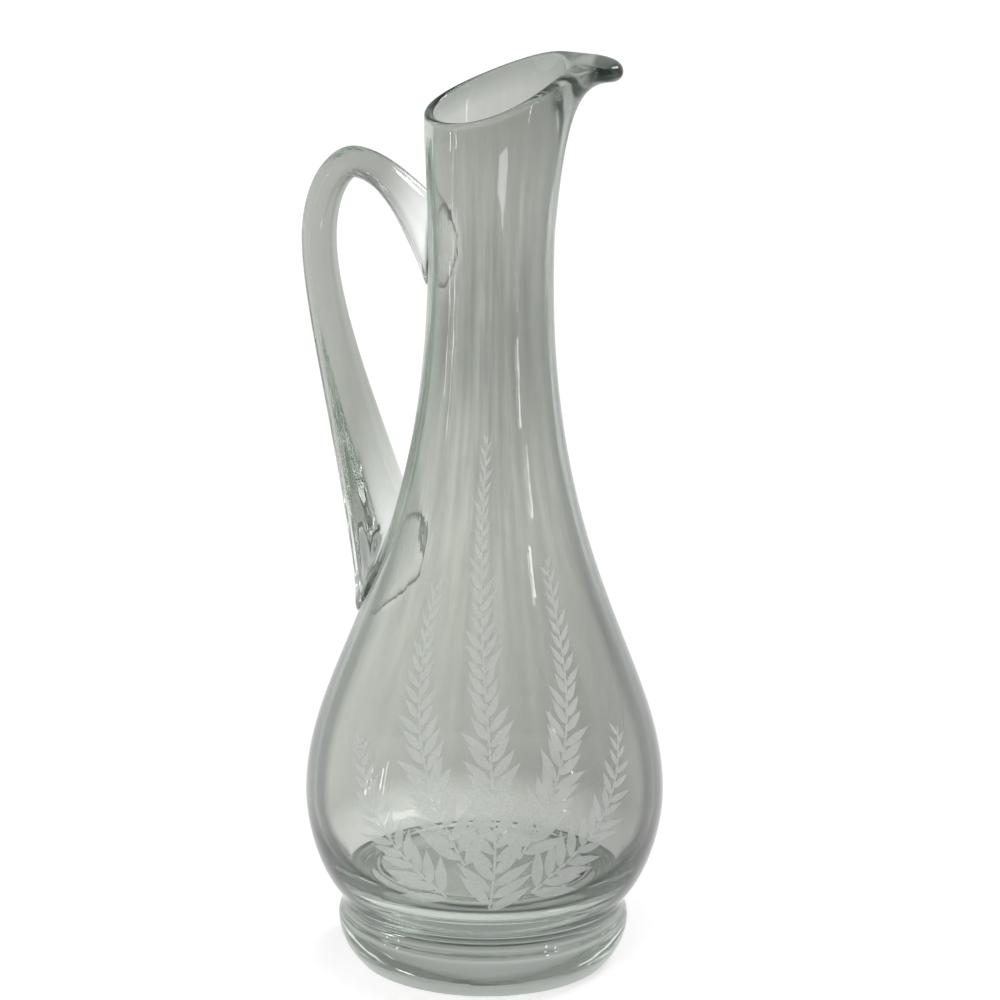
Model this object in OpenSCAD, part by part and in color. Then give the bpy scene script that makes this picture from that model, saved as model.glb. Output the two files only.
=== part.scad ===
// Glass bar carafe: a blown vessel with a slanted mouth and a pulled pouring lip,
// a solid foot under it and an applied loop handle.
// Millimetres. +Z is up, the foot stands on z = 0 and the vessel turns about the Z axis.
// The lip points along +X and the handle stands on the other side.

/* [Foot] */
// Radius of the flat face that the carafe stands on
foot_base_r = 40; // [34:0.5:43]
// Largest radius of the foot
foot_r = 45.4; // [44.5:0.1:52]
// Height at which the foot is widest
foot_wide_z = 12.5; // [8:0.5:15]
// Radius of the waist, where the vessel stands on the foot
waist_r = 44; // [36:0.5:44.5]
// Height of the waist above the table
waist_z = 18.5; // [16.5:0.5:24]

/* [Vessel] */
// Radius of the hollow that blends the waist into the belly
waist_fillet = 6; // [3:0.5:7]
// Angle through which that hollow turns outwards, in degrees
fillet_turn = 45; // [38:1:55]
// How far the belly runs straight out of that hollow before it bends
belly_spread = 8; // [4:0.5:12]
// Largest radius of the belly
belly_r = 56.2; // [52:0.1:64]
// Height at which the belly is widest
belly_z = 54.4; // [48:0.2:66]
// Length of the belly's upright bend below its widest height
belly_under = 12; // [6:1:18]
// Length of the belly's upright bend above its widest height
belly_over = 42.6; // [25:0.2:60]
// Radius of the neck at its narrowest
neck_r = 19.8; // [17:0.1:20.2]
// Height at which the neck is narrowest
neck_z = 240; // [225:1:246]
// Length of the neck's upright bend down from there
neck_drop = 111; // [80:1:130]
// Radius of the collar, where the round neck ends and the mouth begins
collar_r = 20.3; // [20:0.1:22]
// Height of the collar
collar_z = 252; // [249:1:258]
// Lean of the wall at the collar, in degrees off upright
collar_lean = 3; // [0:0.5:8]
// Thickness of the wall at the belly
belly_wall = 3; // [2:0.1:5]
// Thickness of the wall at the neck and the collar
neck_wall = 2.3; // [1.5:0.1:4]
// Height of the flat floor inside
floor_z = 28; // [25:0.5:34]
// Radius of the flat floor inside
floor_r = 36; // [28:0.5:40]
// Length over which the floor runs on level before it curves up
floor_spread = 12; // [6:0.5:14]

/* [Mouth and lip] */
// Mean radius of the hole in the mouth
mouth_r = 20.4; // [18.5:0.1:23]
// How far the hole lies off the axis towards the lip
mouth_shift = 2; // [0:0.1:2.5]
// Mean height of the rim
mouth_z = 287.2; // [282:0.1:296]
// Rise of the rim at the lip, and its fall at the back
mouth_rise = 8.9; // [0:0.1:14]
// Turn of that slant off the line of the lip, in degrees
mouth_turn = 8.5; // [-15:0.5:15]
// Sag of the rim's sides between the lip and the back
mouth_sag = 1.3; // [0:0.1:3]
// Thickness of the rim away from the lip
rim_t = 2.9; // [2.4:0.1:4]
// Fall from the rim's crest to the edge of the hole, away from the lip
rim_dip = 2.6; // [1.2:0.1:4]
// Reach of the lip's tip from the axis
lip_reach = 40.6; // [32:0.2:48]
// Thickness of the lip's tip
lip_t = 5.8; // [4:0.1:8]
// Angle from the lip's middle at which about a third of its reach is left, in degrees
lip_spread = 17; // [13:0.5:26]
// Fall from the lip's crown to the edge of the hole
lip_dip = 4; // [1.5:0.1:6]
// Rise of the lip's tip above the slant of the rim
lip_lift = 0.7; // [0:0.1:4]
// How much more the wall leans out of the collar on the side of the lip, in degrees
lip_lean = 6; // [0:0.5:14]
// Share of the wall's height over which it keeps the collar's lean
flare_share = 0.6; // [0.3:0.05:0.75]
// Length of the bend of the wall into the rim
flare_run = 12.5; // [8:0.5:15]
// Length of the upright bends inside the mouth
throat = 9; // [4:0.5:10]

/* [Handle] */
// Turn of the handle about the axis, off the line of the lip, in degrees
handle_turn = 22; // [-25:1:30]
// Reach of the handle's outer side from the axis
handle_reach = 67.7; // [58:0.1:76]
// Height of that outermost point
handle_reach_z = 227; // [214:1:236]
// Height of the top of the loop
loop_top_z = 259.1; // [253:0.1:267]
// Distance of the loop's top from the axis
loop_top_x = 48.3; // [43:0.1:52]
// Radius of the rod at the top of the loop
rod_top_r = 5.1; // [4:0.1:6]
// Radius of the rod at the outermost point
rod_r = 5.7; // [4.5:0.1:7]
// Height at which the handle's centre line meets the neck
upper_seat_z = 235; // [228:0.5:238]
// Steepness of the handle where it meets the neck, in degrees above level
upper_seat_rise = 56; // [45:1:58]
// Depth of the upper pad, across the handle in its own plane
upper_pad_depth = 20; // [14:0.5:22]
// Width of the upper pad around the neck
upper_pad_width = 17.5; // [12:0.5:24]
// Height of the lower pad's tail
lower_tail_z = 104.5; // [96:0.5:112]
// Lean of the tail against the vessel, in degrees off upright
lower_seat_lean = 6; // [2:0.1:14]
// Depth of the lower pad, across the handle in its own plane
lower_pad_depth = 21; // [16:0.5:23]
// Width of the lower pad around the vessel
lower_pad_width = 35; // [22:0.5:38]
// Length of the handle's bend out of the neck
upper_bend = 31; // [22:1:36]
// Length of the bend into the top of the loop
top_bend_in = 9; // [6:0.5:12]
// Length of the bend out of the top of the loop
top_bend_out = 7; // [5:0.5:11]
// Length of the upright bend above the outermost point
reach_bend_up = 15; // [9:0.5:19]
// Length of the upright bend below the outermost point
reach_bend_down = 30; // [20:1:45]
// Length of the bend out of the lower pad's tail
tail_bend = 35; // [25:1:45]
// How far the ends of the rod lie under the vessel's skin before they are cut to it
seat_sink = 1; // [0.6:0.1:2]

/* [Hidden] */
$fn = 96;
GLASS = [0.69, 0.71, 0.68, 0.45];
THICK_GLASS = [0.55, 0.60, 0.55, 0.6];

// Steps along the turned outlines: short curves, the hollow of the waist, the neck and the collar
curve_steps = 14;
fillet_steps = 5;
neck_steps = 28;
collar_steps = 5;
// Bends of the turned outlines, as shares of the run that each bends over
foot_bend = 0.45;
corner_out = 0.4;
corner_up = 0.2;
collar_bend = 0.35;
// Gap that keeps the many-sided mouth inside the round collar that it stands on
seam = 0.05;
// Meridians around the mouth, and how much closer they lie at the lip
meridians = 80;
lip_density = 0.5;
// Steps along the outer wall, the bead, the crown and the inner wall of the mouth
wall_steps = 9;
bead_steps = 6;
crown_steps = 5;
throat_steps = 6;
// Sides of the handle's rod and steps along its three bends
rod_sides = 20;
upper_steps = 12;
loop_steps = 9;
lower_steps = 18;
// How late the pads begin to swell out of the rod
upper_swell = 1.7;
lower_swell = 1.25;

lip_pull = lip_reach - mouth_r - mouth_shift - rim_t;

function bezier(p, t) =
    pow(1 - t, 3) * p[0] + 3 * t * pow(1 - t, 2) * p[1] + 3 * t * t * (1 - t) * p[2] + pow(t, 3) * p[3];
function bezier_way(p, t) =
    pow(1 - t, 2) * (p[1] - p[0]) + 2 * t * (1 - t) * (p[2] - p[1]) + t * t * (p[3] - p[2]);
function curve(p, steps, first = 0) = [for (i = [first:steps]) bezier(p, i / steps)];
function ease(t) = t * t * (3 - 2 * t);
function mix(a, b, t) = a + (b - a) * t;
function upright(length) = [0, length];
function leaning(length, lean) = length * [sin(lean), cos(lean)];

// The vessel's outer outline from the waist to the collar, as radius and height
fillet_middle = [waist_r + waist_fillet, waist_z];
function fillet_point(turn) = fillet_middle + waist_fillet * [-cos(turn), sin(turn)];
fillet_end = fillet_point(fillet_turn);
belly = [belly_r, belly_z];
neck = [neck_r, neck_z];
collar = [collar_r, collar_z];
collar_run = (collar_z - neck_z) * collar_bend;

// From the widest belly over the narrowest neck to the collar
function neck_curve(widest, narrowest, top) = concat(
    curve([widest, widest + upright(belly_over), narrowest - upright(neck_drop), narrowest],
          neck_steps, 1),
    curve([narrowest, narrowest + upright(collar_run), top - leaning(collar_run, collar_lean), top],
          collar_steps, 1));
outer_line = concat(
    [for (i = [0:fillet_steps]) fillet_point(fillet_turn * i / fillet_steps)],
    curve([fillet_end, fillet_end + leaning(belly_spread, fillet_turn), belly - upright(belly_under), belly],
          curve_steps, 1),
    neck_curve(belly, neck, collar));

// The inner outline from the edge of the floor to the collar
floor_edge = [floor_r, floor_z];
belly_in = belly - [belly_wall, 0];
neck_in = neck - [neck_wall, 0];
collar_in = collar - [neck_wall, 0];
inner_line = concat(
    curve([floor_edge, floor_edge + [floor_spread, 0], belly_in - upright(belly_under), belly_in], curve_steps),
    neck_curve(belly_in, neck_in, collar_in));

skin_table = [for (p = outer_line) [p.y, p.x]];
function skin_r(z) = lookup(z, skin_table);

// The mouth, at an angle from the middle of the lip
function lip_share(a) = exp(-pow(a / lip_spread, 2));
function hole_r(a) = mouth_r + mouth_shift * cos(a);
function slant_z(a) = mouth_rise * cos(a) + mouth_sag * cos(2 * a);
function crest_z(a) = mouth_z + slant_z(a - mouth_turn) + lip_lift * lip_share(a);
function edge_r(a) = hole_r(a) + rim_t + lip_pull * lip_share(a);
function bead_r(a) = mix(rim_t, lip_t, lip_share(a)) / 2;
function hole_drop(a) = mix(rim_dip, lip_dip, lip_share(a));
function round_way(a) = [cos(a), sin(a)];

// One meridian of the mouth: up the outer wall, round the bead, over the crown and down the throat
function mouth_section(a) =
    let (bead = bead_r(a))
    let (middle = [edge_r(a) - bead, crest_z(a) - bead])
    let (start = -90 * lip_share(a))
    let (root = collar - [seam, 0])
    let (under = middle + bead * round_way(start))
    let (bend = under - flare_run * round_way(start + 90))
    let (lean = collar_lean + lip_lean * (1 + cos(a)) / 2)
    let (rise = leaning(flare_share * (under.y - root.y), lean))
    let (crown = middle + upright(bead))
    let (edge = [hole_r(a), crest_z(a) - hole_drop(a)])
    let (inside = collar_in + [seam, 0])
    concat(
        curve([root, root + rise, bend, under], wall_steps),
        [for (i = [1:bead_steps]) middle + bead * round_way(mix(start, 90, i / bead_steps))],
        [for (i = [1:crown_steps])
            crown + [(edge.x - crown.x) * sin(90 * i / crown_steps),
                     (edge.y - crown.y) * (1 - cos(90 * i / crown_steps))]],
        curve([edge, edge - upright(throat), inside + leaning(throat, collar_lean), inside], throat_steps, 1));

// Angles of the meridians, closest together at the lip
function meridian_angle(i) =
    let (u = 2 * i / meridians - 1)
    180 * (u - lip_density * sin(180 * u) / PI);

// A closed ring of meridians, each a closed section
module ring_of_sections(sections, angles) {
    n = len(sections);
    m = len(sections[0]);
    points = [for (j = [0:n - 1]) for (p = sections[j])
        [p.x * cos(angles[j]), p.x * sin(angles[j]), p.y]];
    faces = [for (j = [0:n - 1]) for (k = [0:m - 1])
        let (a = j * m + k)
        let (b = (j + 1) % n * m + k)
        let (c = (j + 1) % n * m + (k + 1) % m)
        let (d = j * m + (k + 1) % m)
        each [[a, d, c], [a, c, b]]];
    polyhedron(points, faces);
}

module mouth() {
    angles = [for (i = [0:meridians - 1]) meridian_angle(i)];
    ring_of_sections([for (a = angles) mouth_section(a)], angles);
}

// The vessel without its hollow, up to the collar
module vessel_envelope() {
    rotate_extrude() polygon(concat([[0, waist_z]], outer_line, [[0, collar_z]]));
}

module vessel() {
    color(GLASS) {
        rotate_extrude() polygon(concat(
            [[0, waist_z]],
            outer_line,
            [for (i = [len(inner_line) - 1:-1:0]) inner_line[i]],
            [[0, floor_z]]));
        mouth();
    }
}

// The foot's outline: the flat base, a rounded side and the hollow up to the waist
foot_side = [foot_r, foot_wide_z];
waist = [waist_r, waist_z];
foot_corner = [foot_base_r, 0];
corner_way = [(foot_r - foot_base_r) * corner_out, foot_wide_z * corner_up];
side_bend = upright(foot_wide_z * foot_bend);
waist_bend = upright((waist_z - foot_wide_z) * foot_bend);
foot_line = concat(
    curve([foot_corner, foot_corner + corner_way, foot_side - side_bend, foot_side], curve_steps),
    curve([foot_side, foot_side + waist_bend, waist - waist_bend, waist], curve_steps, 1));

module foot() {
    color(THICK_GLASS)
        rotate_extrude() polygon(concat([[0, 0]], foot_line, [[0, waist_z]]));
}

// The handle's centre line in its own upright plane, as reach from the axis and height
upper_way = round_way(upper_seat_rise);
upper_touch = [skin_r(upper_seat_z), upper_seat_z];
upper_run_in = (upper_pad_depth / 2 * upper_way.y + seat_sink) / upper_way.x;
upper_end = upper_touch - upper_run_in * upper_way;
loop_top = [loop_top_x, loop_top_z - rod_top_r];
outermost = [handle_reach - rod_r, handle_reach_z];
tail_end = [skin_r(lower_tail_z) - lower_pad_depth / 2 - seat_sink, lower_tail_z];
upper_arm = [upper_end, upper_end + upper_bend * upper_way, loop_top - [top_bend_in, 0], loop_top];
loop_arm = [loop_top, loop_top + [top_bend_out, 0], outermost + upright(reach_bend_up), outermost];
lower_arm = [outermost, outermost - upright(reach_bend_down), tail_end + leaning(tail_bend, lower_seat_lean), tail_end];

function upper_size(t) = ease(pow(1 - t, upper_swell));
function lower_size(t) = ease(pow(t, lower_swell));

// Stations along the rod: its centre, its way, and its radii in the plane and across it
rod_stations = concat(
    [for (i = [0:upper_steps - 1]) let (t = i / upper_steps)
        [bezier(upper_arm, t), bezier_way(upper_arm, t),
         mix(rod_top_r, upper_pad_depth / 2, upper_size(t)),
         mix(rod_top_r, upper_pad_width / 2, upper_size(t))]],
    [for (i = [0:loop_steps - 1]) let (t = i / loop_steps)
        [bezier(loop_arm, t), bezier_way(loop_arm, t),
         mix(rod_top_r, rod_r, t), mix(rod_top_r, rod_r, t)]],
    [for (i = [0:lower_steps]) let (t = i / lower_steps)
        [bezier(lower_arm, t), bezier_way(lower_arm, t),
         mix(rod_r, lower_pad_depth / 2, lower_size(t)),
         mix(rod_r, lower_pad_width / 2, lower_size(t))]]);

function rod_ring(station) =
    let (centre = station[0])
    let (way = station[1] / norm(station[1]))
    [for (i = [0:rod_sides - 1])
        let (turn = 360 * i / rod_sides)
        let (out = station[2] * cos(turn))
        [centre.x - way.y * out, station[3] * sin(turn), centre.y + way.x * out]];

// A rod of rings, closed at both ends
module swept_rod(rings) {
    n = len(rings);
    m = len(rings[0]);
    sides = [for (i = [0:n - 2]) for (k = [0:m - 1])
        let (a = i * m + k)
        let (b = i * m + (k + 1) % m)
        each [[a, b, b + m], [a, b + m, a + m]]];
    first_end = [for (k = [m - 1:-1:0]) k];
    last_end = [for (k = [0:m - 1]) (n - 1) * m + k];
    polyhedron([for (r = rings) each r], concat(sides, [first_end, last_end]));
}

module handle() {
    color(GLASS)
        rotate([0, 0, 180 - handle_turn])
            difference() {
                swept_rod([for (s = rod_stations) rod_ring(s)]);
                vessel_envelope();
            }
}

vessel();
foot();
handle();
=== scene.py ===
"""Looks of a blown glass carafe: a tinted clear vessel with a slanted mouth and a pulled lip,
a solid foot, an applied loop handle and a spray of leaves that is engraved on the belly."""

import math

import bpy
import numpy as np
from mathutils import Matrix, Vector


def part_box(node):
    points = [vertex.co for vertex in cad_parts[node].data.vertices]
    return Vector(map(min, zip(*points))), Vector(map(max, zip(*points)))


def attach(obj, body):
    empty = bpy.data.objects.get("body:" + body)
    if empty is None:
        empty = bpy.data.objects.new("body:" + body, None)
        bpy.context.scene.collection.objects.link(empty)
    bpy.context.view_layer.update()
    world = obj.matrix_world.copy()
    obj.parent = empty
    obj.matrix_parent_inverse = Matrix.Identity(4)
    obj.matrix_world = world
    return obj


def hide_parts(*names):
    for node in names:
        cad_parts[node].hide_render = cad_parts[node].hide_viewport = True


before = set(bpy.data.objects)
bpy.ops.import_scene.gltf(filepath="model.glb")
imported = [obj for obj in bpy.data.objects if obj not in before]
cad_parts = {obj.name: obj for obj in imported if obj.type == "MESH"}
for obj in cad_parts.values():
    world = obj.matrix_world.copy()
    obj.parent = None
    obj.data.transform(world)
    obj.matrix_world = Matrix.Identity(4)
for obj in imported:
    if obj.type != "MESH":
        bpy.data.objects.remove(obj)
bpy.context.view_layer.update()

MM = 0.001
scene = bpy.context.scene

# Sizes of the pieces in millimetres. What the frame can give is read from it.
foot_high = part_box("foot")[1] / MM
vessel_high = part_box("vessel")[1] / MM
handle_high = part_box("handle")[1] / MM
# The belly keeps this far inside the frame's box
INSIDE_BOX = 0.06

FOOT_BASE_R = 40.0
FOOT_R = foot_high.x
FOOT_WIDE_Z = 12.5
WAIST_R = 44.0
WAIST_Z = foot_high.z

WAIST_FILLET = 6.0
FILLET_TURN = 45.0
BELLY_SPREAD = 8.0
BELLY_R = vessel_high.x - INSIDE_BOX
BELLY_Z = 54.4
BELLY_UNDER = 12.0
BELLY_OVER = 42.6
NECK_R = 19.8
NECK_Z = 240.0
NECK_DROP = 111.0
NECK_LEAN = 1.5
BELLY_WALL = 3.0
NECK_WALL = 2.3
FLOOR_Z = 28.0
FLOOR_R = 36.0
FLOOR_SPREAD = 12.0
GROOVE_W = 4.0
GROOVE_DEPTH = 0.7

MOUTH_R = 20.4
MOUTH_SHIFT = 2.0
MOUTH_Z = 287.19
MOUTH_RISE = 8.9
MOUTH_TURN = 8.5
MOUTH_SAG = 1.3
RIM_T = 2.9
RIM_DIP = 0.8
LIP_REACH = 40.6
LIP_T = 5.8
LIP_SPREAD = 17.0
LIP_DIP = 4.0
LIP_LIFT = 0.7
LIP_LEAN = 3.0
FLARE_SHARE = 0.62
FLARE_RUN = 12.5
THROAT_LOW = 22.0
THROAT_HIGH = 9.0

HANDLE_TURN = 22.0
HANDLE_REACH = 67.66
HANDLE_REACH_Z = 227.0
LOOP_TOP_Z = handle_high.z
LOOP_TOP_X = 48.3
ROD_TOP_R = 5.1
ROD_R = 5.7
UPPER_SEAT_Z = 235.0
UPPER_SEAT_RISE = 56.0
UPPER_PAD_DEPTH = 20.0
UPPER_PAD_WIDTH = 17.5
LOWER_TAIL_Z = 104.5
LOWER_SEAT_LEAN = 6.0
LOWER_PAD_DEPTH = 21.0
LOWER_PAD_WIDTH = 35.0
UPPER_BEND, TOP_BEND_IN, TOP_BEND_OUT = 31.0, 9.0, 7.0
REACH_BEND_UP, REACH_BEND_DOWN, TAIL_BEND = 15.0, 30.0, 35.0
UPPER_SWELL, LOWER_SWELL = 1.7, 1.25
SEAT_SINK = 1.0
# Shallow furrows along the drawn rod: their depth as a share of its radius, and how many go round it at which twist
FURROW = 0.07
FURROWS = ((5, 1.3), (9, -0.9))

# The foot reaches this far into the vessel, so that no air lies between them
FUSED = 0.1
# The handle is laid on, with this thin skin of air under its seats
LAID_ON = 0.05

# A disc is meshed in rings at these shares of its radius
DISC_RINGS = (0, 0.3, 0.6, 0.8, 0.9, 0.97)
# Edges that turn by more than this stay sharp
SHARP = math.radians(40)


# The camera stands where the photograph was taken from
CAMERA_REACH = 5000.0
CAMERA_TURN = 8.0
CAMERA_RISE = 21.0
CAMERA_ROLL = 0.7
AIM_Z = 130.0
AIM_PIXEL = (487.3, 562.9)
PIXELS_PER_MM = 3.2
IMAGE_PIXELS = 1000
SENSOR = 36.0


def photo_camera():
    turn, rise, roll = (math.radians(a) for a in (CAMERA_TURN, CAMERA_RISE, CAMERA_ROLL))
    target = Vector((0, 0, AIM_Z))
    place = target + CAMERA_REACH * Vector((math.sin(turn), -math.cos(turn), math.tan(rise)))
    ahead = (target - place).normalized()
    level = Vector((math.cos(turn), math.sin(turn), 0))
    upward = level.cross(ahead)
    right = level * math.cos(roll) + upward * math.sin(roll)
    up_way = upward * math.cos(roll) - level * math.sin(roll)
    middle = IMAGE_PIXELS / 2
    aim = target + ((middle - AIM_PIXEL[0]) * right + (AIM_PIXEL[1] - middle) * up_way) / PIXELS_PER_MM
    distance = (target - place).length
    data = bpy.data.cameras.new("photo_camera")
    data.sensor_width = SENSOR
    data.lens = SENSOR * PIXELS_PER_MM * distance / IMAGE_PIXELS
    camera = bpy.data.objects.new("photo_camera", data)
    scene.collection.objects.link(camera)
    back = (place - aim).normalized()
    side = up_way.cross(back).normalized()
    turned = Matrix((side, back.cross(side), back)).transposed()
    camera.matrix_world = Matrix.Translation(place * MM) @ turned.to_4x4()
    scene.camera = camera


photo_camera()


# Curves and meshes
def cubic(p, t):
    return (1 - t) ** 3 * p[0] + 3 * t * (1 - t) ** 2 * p[1] + 3 * t * t * (1 - t) * p[2] + t ** 3 * p[3]


def bezier(ends, steps):
    """Points along a cubic curve through its first and last control point."""
    return cubic(np.array(ends, float), np.linspace(0, 1, steps + 1)[:, None])


def up(length):
    return np.array([0.0, length])


def leaning(length, lean):
    return length * np.array([math.sin(math.radians(lean)), math.cos(math.radians(lean))])


def round_way(angle):
    return np.array([math.cos(math.radians(angle)), math.sin(math.radians(angle))])


def mix(a, b, share):
    return a + (b - a) * share


def ease(t):
    return t * t * (3 - 2 * t)


def mesh_piece(name, points, faces, material, marks):
    """A smooth closed piece from points in millimetres, with named shares from 0 to 1 kept for each point."""
    mesh = bpy.data.meshes.new(name)
    mesh.from_pydata([tuple(p) for p in np.asarray(points) * MM], [], faces)
    mesh.materials.append(material)
    mesh.shade_smooth()
    mesh.set_sharp_from_angle(angle=SHARP)
    for mark, shares in marks.items():
        mesh.attributes.new(mark, "FLOAT", "POINT").data.foreach_set("value", [float(share) for share in shares])
    piece = bpy.data.objects.new(name, mesh)
    scene.collection.objects.link(piece)
    return piece


def fuse_to_part(piece, node):
    if node:
        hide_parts(node)
    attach(piece, "root")


# Materials
def linear(colour):
    """An sRGB hex colour as linear red, green, blue and alpha."""
    parts = [int(colour[i:i + 2], 16) / 255 for i in (1, 3, 5)]
    return [c / 12.92 if c <= 0.04045 else ((c + 0.055) / 1.055) ** 2.4 for c in parts] + [1.0]


def add(tree, kind, inputs=None, stops=None, **settings):
    """A node with its settings; each input gets a value or a link, and a ramp its stops."""
    node = tree.nodes.new(kind)
    for key, value in settings.items():
        setattr(node, key, value)
    for key, value in (inputs or {}).items():
        if isinstance(value, bpy.types.NodeSocket):
            tree.links.new(value, node.inputs[key])
        else:
            node.inputs[key].default_value = value
    if stops:
        elements = node.color_ramp.elements
        for place, _ in stops[2:]:
            elements.new(place)
        for element, (place, colour) in zip(elements, stops):
            element.position = place
            element.color = colour
    return node


def new_material(name):
    material = bpy.data.materials.new(name)
    material.use_nodes = True
    material.node_tree.nodes.clear()
    return material, material.node_tree


GLASS_IOR = 1.5

# The blown wall's tint, and how strongly its cords show, by the share of the vessel's height. The tint holds painted
# light and shade: almost clear over the floor, to lighten the paper that the foot shades, and darker low on the neck
# and at the mouth.
WALL_TINTS_AND_PAINTED_LIGHT = [(0.06, "#fafbf9"), (0.1, "#f0f2ef"), (0.135, "#c5c7c3"), (0.3, "#ced0cb"),
              (0.5, "#cfd1cc"), (0.68, "#b8bbb6"), (0.85, "#c6c8c3"), (0.97, "#b5b7b2")]
CORD_STRENGTHS = [(0.2, 0.05), (0.6, 0.8), (0.8, 0.8), (0.9, 0.15)]
# Cords for each radian around the neck, and their length in millimetres
CORDS_ROUND, CORD_LENGTH = 9.0, 60.0
# The size of the slow ripples that blowing leaves, in millimetres
RIPPLE = 30.0
# The power that narrows the rim to its bead
BEAD_ONLY = 12.0
# The solid lip lies above this height and from this far out, in millimetres
LIP_LOW_Z, LIP_FROM, LIP_FULL = 250.0, 30.0, 32.0
# How much further the view grazes between a wall's plain tint and the full tint of its edge, which is partly painted
# shade
EDGE_RUN = 0.09
# Roughness of the melted rim, and of the place where it turns out into the lip
RIM_SOFT, ROOT_SOFT = 0.06, 0.25
# Wheel marks, in millimetres
GRAIN = 0.6


def blown_glass():
    """Blown soda glass: thin grey-green walls polished by the fire, with faint upright cords in the
    neck, where the gather was drawn, painted shade at the back of the rim and painted light on its front bead, a deep
    green in the solid lip that is partly a painted dark reflection, and painted light and shade up the walls and
    along their grazed edges."""
    material, tree = new_material("blown_soda_glass")
    place = add(tree, "ShaderNodeTexCoord").outputs["Object"]
    axes = add(tree, "ShaderNodeSeparateXYZ", {0: place}).outputs
    height = add(tree, "ShaderNodeMath", {0: axes[2], 1: vessel_high.z * MM}, operation="DIVIDE").outputs[0]
    wall = add(tree, "ShaderNodeValToRGB", {0: height},
               stops=[(share, linear(tint)) for share, tint in WALL_TINTS_AND_PAINTED_LIGHT]).outputs[0]
    # Painted light and shade: the wall's tint is scaled lighter away from the lip and darker on the lip's side
    side_light_and_shade = add(tree, "ShaderNodeMapRange", {"Value": axes[0], "From Min": -20 * MM, "From Max": 45 * MM,
                                             "To Min": 1.12, "To Max": 0.85}).outputs[0]
    wall = add(tree, "ShaderNodeVectorMath", {0: wall, "Scale": side_light_and_shade}, operation="SCALE").outputs[0]
    # One cord every 2 mm or so around the neck, drawn out for some 60 mm along it
    around = add(tree, "ShaderNodeVectorMath", {0: place, 1: (1, 1, 0)}, operation="MULTIPLY").outputs[0]
    around = add(tree, "ShaderNodeVectorMath", {0: around}, operation="NORMALIZE").outputs[0]
    around = add(tree, "ShaderNodeVectorMath", {0: around, "Scale": CORDS_ROUND}, operation="SCALE").outputs[0]
    along = add(tree, "ShaderNodeMath", {0: axes[2], 1: CORD_LENGTH * MM}, operation="DIVIDE").outputs[0]
    rise = add(tree, "ShaderNodeCombineXYZ", {2: along}).outputs[0]
    spot = add(tree, "ShaderNodeVectorMath", {0: around, 1: rise}, operation="ADD").outputs[0]
    cords = add(tree, "ShaderNodeTexNoise", {
        "Vector": spot, "Scale": 1.0, "Detail": 3.0, "Roughness": 0.6}).outputs[0]
    drawn = add(tree, "ShaderNodeValToRGB", {0: height},
                stops=[(share, (much, much, much, 1)) for share, much in CORD_STRENGTHS]).outputs[0]
    cords = add(tree, "ShaderNodeMath", {0: cords, 1: 0.5}, operation="SUBTRACT").outputs[0]
    cords = add(tree, "ShaderNodeMath", {0: cords, 1: drawn}, operation="MULTIPLY").outputs[0]
    shade = add(tree, "ShaderNodeMath", {0: cords, 1: 1.0}, operation="ADD").outputs[0]
    wall = add(tree, "ShaderNodeVectorMath", {0: wall, "Scale": shade}, operation="SCALE").outputs[0]
    # The rim was melted round. Its tint is painted shade and light: darker at the back, and paler on its bead at the
    # front
    rim = add(tree, "ShaderNodeAttribute", attribute_name="rim").outputs["Fac"]
    back = add(tree, "ShaderNodeMapRange", {"Value": axes[1], "From Min": -18 * MM, "From Max": 10 * MM}).outputs[0]
    rim_back_shade = add(tree, "ShaderNodeMath", {0: rim, 1: back}, operation="MULTIPLY").outputs[0]
    bead = add(tree, "ShaderNodeMath", {0: rim, 1: BEAD_ONLY}, operation="POWER").outputs[0]
    rim_front_light = add(tree, "ShaderNodeMath", {0: bead, 1: back}, operation="SUBTRACT", use_clamp=True).outputs[0]
    in_lip = add(tree, "ShaderNodeMapRange", {"Value": axes[0], "From Min": LIP_FROM * MM, "From Max": LIP_FULL * MM},
                 interpolation_type="SMOOTHSTEP").outputs[0]
    above = add(tree, "ShaderNodeMath", {0: axes[2], 1: LIP_LOW_Z * MM}, operation="GREATER_THAN").outputs[0]
    in_lip = add(tree, "ShaderNodeMath", {0: in_lip, 1: above}, operation="MULTIPLY").outputs[0]
    # Where the hot handle was pressed on, the wall was thinned and is clear
    seat = add(tree, "ShaderNodeAttribute", attribute_name="seat").outputs["Fac"]
    # Painted marks among these: shade at the back of the rim, light on its bead at the front, and the lip's deep
    # green, which is partly the solid glass's own colour and partly a painted dark reflection; the seats are clear
    for share, hue in ((rim_back_shade, "#a0a6a0"), (rim_front_light, "#d2d6d0"), (in_lip, "#465048"), (seat, "#fdfefd")):
        wall = add(tree, "ShaderNodeMix", {0: share, 6: wall, 7: linear(hue)}, data_type="RGBA").outputs[2]
    # The melted rim is a little soft, most of all where it turns out into the lip
    soft = add(tree, "ShaderNodeMath", {0: rim, 1: in_lip}, operation="SUBTRACT", use_clamp=True).outputs[0]
    soft = add(tree, "ShaderNodeMath", {0: soft, 1: RIM_SOFT}, operation="MULTIPLY").outputs[0]
    root = add(tree, "ShaderNodeAttribute", attribute_name="root").outputs["Fac"]
    soft = add(tree, "ShaderNodeMath", {0: root, 1: ROOT_SOFT, 2: soft}, operation="MULTIPLY_ADD").outputs[0]
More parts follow.
